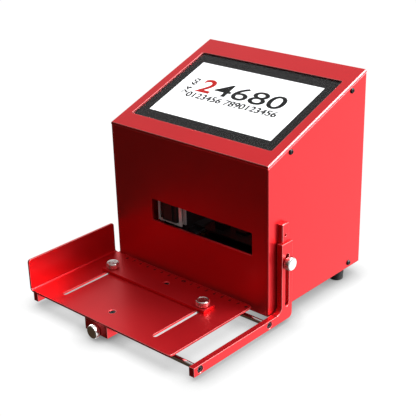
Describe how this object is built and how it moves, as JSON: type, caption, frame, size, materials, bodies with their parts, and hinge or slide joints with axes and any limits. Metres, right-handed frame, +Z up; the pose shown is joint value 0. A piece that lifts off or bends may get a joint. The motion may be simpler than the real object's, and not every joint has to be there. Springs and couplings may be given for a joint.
{
  "type": "date code inkjet printer",
  "caption": "Desktop date code inkjet printer: wedge-shaped red metal housing with a sloped touch screen, a print slot and a lifting work platform with a sliding fence.",
  "frame": {"origin": "on the floor under the middle of the machine's bounding box", "axes": "+X to the right of someone facing the screen, front faces -Y, +Z up"},
  "size_m": [0.2264, 0.285, 0.2158],
  "materials": {
    "red_anodised": "satin red anodised",
    "black_coat": "satin black anodised",
    "bare_aluminium": "milled",
    "bright_steel": "polished nickel plate",
    "ground_rod": "ground and chromed",
    "black_screw": "black oxide",
    "zinc_screw": "zinc plate",
    "foot_rubber": "matt",
    "belt_rubber": "matt",
    "cover_glass": "clear, polished",
    "border_ink": "printed black",
    "screen_face": "lit screen",
    "black_plastic": "fine texture",
    "ink_case": "moulded",
    "circuit_board": "black solder mask",
    "brass_standoff": "turned"
  },
  "bodies": {
    "housing": {"base_plate": "black_coat", "base_rails": "bare_aluminium", "front_panel": "red_anodised", "left_side_plate": "red_anodised", "right_side_plate": "red_anodised", "cover_rails": "bare_aluminium", "display_panel": "red_anodised", "rear_panel": "red_anodised", "side_plate_screws": "black_screw", "rear_panel_screws": "black_screw", "rubber_feet": "foot_rubber", "foot_screws": "zinc_screw", "touch_glass": "cover_glass", "glass_border": "border_ink", "lcd_module": "screen_face", "display_clips": "bare_aluminium", "beam_posts": "bare_aluminium", "rail_beam": "bare_aluminium", "linear_rail": "bright_steel", "motor_plate": "bare_aluminium", "stepper_motor": "black_plastic", "idler_plate": "zinc_screw", "drive_belt": "belt_rubber", "controller_board": "circuit_board", "board_standoffs": "brass_standoff", "usb_ports": "zinc_screw", "power_inlet": "black_plastic", "switch_housing": "black_plastic", "hinge_frame_leaves": "bright_steel", "left_guide_bar": "red_anodised", "right_guide_bar": "red_anodised", "guide_bar_screws": "zinc_screw"},
    "print_head": {"rail_carriage": "bright_steel", "head_bracket": "bare_aluminium", "cartridge_holder": "black_plastic", "item_sensor": "black_plastic", "ink_cartridge": "ink_case", "head_face_frame": "bright_steel"},
    "drive_pulley": {"motor_pulley": "bare_aluminium"},
    "return_pulley": {"idler_pulley": "bare_aluminium"},
    "door": {"rear_door": "red_anodised", "hinge_door_leaves": "bright_steel", "door_pull": "bright_steel"},
    "power_switch": {"power_rocker": "black_plastic"},
    "lift_frame": {"left_arm": "red_anodised", "right_arm": "red_anodised", "front_rod": "ground_rod", "rear_rod": "ground_rod", "rod_screws": "black_screw"},
    "left_height_screw": {"left_height_knob": "bright_steel"},
    "right_height_screw": {"right_height_knob": "bright_steel"},
    "platform": {"platform_plate": "red_anodised", "front_slider_block": "red_anodised", "rear_slider_block": "red_anodised", "block_screws": "black_screw"},
    "platform_screw": {"platform_knob": "bright_steel"},
    "fence": {"fence_bar": "red_anodised", "fence_nuts": "zinc_screw"},
    "left_fence_screw": {"left_fence_knob": "bright_steel"},
    "right_fence_screw": {"right_fence_knob": "bright_steel"}
  },
  "joints": [
    {"name": "platform_lift", "type": "slide", "parent": "housing", "child": "lift_frame", "axis": [0, 0, 1], "range_m": [-0.002, 0.043]},
    {"name": "platform_shift", "type": "slide", "parent": "lift_frame", "child": "platform", "axis": [1, 0, 0], "range_m": [-0.06, 0.08]},
    {"name": "fence_slide", "type": "slide", "parent": "platform", "child": "fence", "axis": [0, 1, 0], "range_m": [-0.06, 0.007]},
    {"name": "left_height_turn", "type": "hinge", "parent": "housing", "child": "left_height_screw", "pos_m": [-0.1076, -0.00255, 0.064], "axis": [-1, 0, 0], "range_deg": [0, 360]},
    {"name": "right_height_turn", "type": "hinge", "parent": "housing", "child": "right_height_screw", "pos_m": [0.1076, -0.00255, 0.064], "axis": [1, 0, 0], "range_deg": [0, 360]},
    {"name": "platform_screw_turn", "type": "hinge", "parent": "platform", "child": "platform_screw", "pos_m": [-0.0105, -0.13685, 0.0094], "axis": [0, -1, 0], "range_deg": [0, 360]},
    {"name": "left_fence_turn", "type": "hinge", "parent": "fence", "child": "left_fence_screw", "pos_m": [-0.0715, -0.05705, 0.02295], "axis": [0, 0, 1], "range_deg": [0, 360]},
    {"name": "right_fence_turn", "type": "hinge", "parent": "fence", "child": "right_fence_screw", "pos_m": [0.0505, -0.05705, 0.02295], "axis": [0, 0, 1], "range_deg": [0, 360]},
    {"name": "head_traverse", "type": "slide", "parent": "housing", "child": "print_head", "axis": [1, 0, 0], "range_m": [-0.018, 0.096]},
    {"name": "drive_pulley_spin", "type": "hinge", "parent": "housing", "child": "drive_pulley", "pos_m": [0.076, 0.06345, 0.167], "axis": [0, 0, 1], "range_deg": [-170, 880]},
    {"name": "return_pulley_spin", "type": "hinge", "parent": "housing", "child": "return_pulley", "pos_m": [-0.076, 0.06345, 0.167], "axis": [0, 0, 1], "range_deg": [-170, 880]},
    {"name": "door_swing", "type": "hinge", "parent": "housing", "child": "door", "pos_m": [-0.071, 0.13215, 0.111], "axis": [0, 0, 1], "range_deg": [0, 110]},
    {"name": "power_rock", "type": "hinge", "parent": "housing", "child": "power_switch", "pos_m": [0.076, 0.12545, 0.036], "axis": [1, 0, 0], "range_deg": [-16, 0]}
  ],
  "couplings": [
    {"joint": "drive_pulley_spin", "follows": "head_traverse", "rad_per_m": 157},
    {"joint": "return_pulley_spin", "follows": "head_traverse", "rad_per_m": 157}
  ]
}
